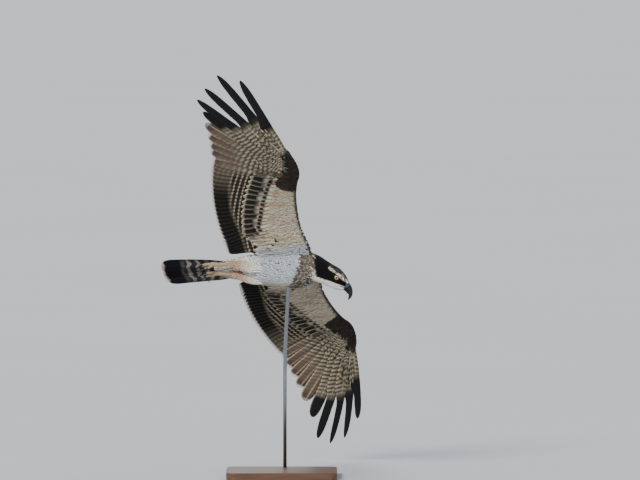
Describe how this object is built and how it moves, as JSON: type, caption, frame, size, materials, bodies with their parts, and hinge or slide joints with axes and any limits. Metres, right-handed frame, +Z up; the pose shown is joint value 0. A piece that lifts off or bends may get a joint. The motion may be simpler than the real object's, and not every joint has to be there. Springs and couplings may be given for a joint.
{
  "type": "osprey display model",
  "caption": "Life-size still model of an osprey banking in flight with spread wings and folded legs, on a display stand with a flat base and one rod.",
  "frame": {"origin": "centre of the underside of the stand's base", "axes": "+Z up, +X the way the bird flies as the picture shows it, +Y into the picture"},
  "size_m": [0.5435, 1.0218, 1.1037],
  "materials": {
    "body_feathers": "matt off-white feathers, mottled brown on the breast",
    "wing_feathers": "matt barred brown and buff feathers",
    "tail_feathers": "matt barred grey-brown feathers with pale tips",
    "bill": "satin black horn",
    "eye": "polished yellow glass eye with a black pupil",
    "foot": "matt pale grey scaly skin",
    "claw": "satin black horn",
    "base": "dark satin wood",
    "rod": "brushed steel"
  },
  "bodies": {
    "root": {"torso": "body_feathers", "neck": "body_feathers", "tail": "tail_feathers", "wing_left_arm": "wing_feathers", "wing_left_hand": "wing_feathers", "wing_right_arm": "wing_feathers", "wing_right_hand": "wing_feathers", "head": "body_feathers", "bill_upper": "bill", "bill_lower": "bill", "eye_left": "eye", "eye_right": "eye", "thigh_left": "body_feathers", "tarsus_left": "foot", "foot_left": "foot", "claw_left_inner": "claw", "claw_left_middle": "claw", "claw_left_outer": "claw", "claw_left_hind": "claw", "thigh_right": "body_feathers", "tarsus_right": "foot", "foot_right": "foot", "claw_right_inner": "claw", "claw_right_middle": "claw", "claw_right_outer": "claw", "claw_right_hind": "claw", "stand_base": "base", "stand_rod": "rod"}
  },
  "joints": []
}
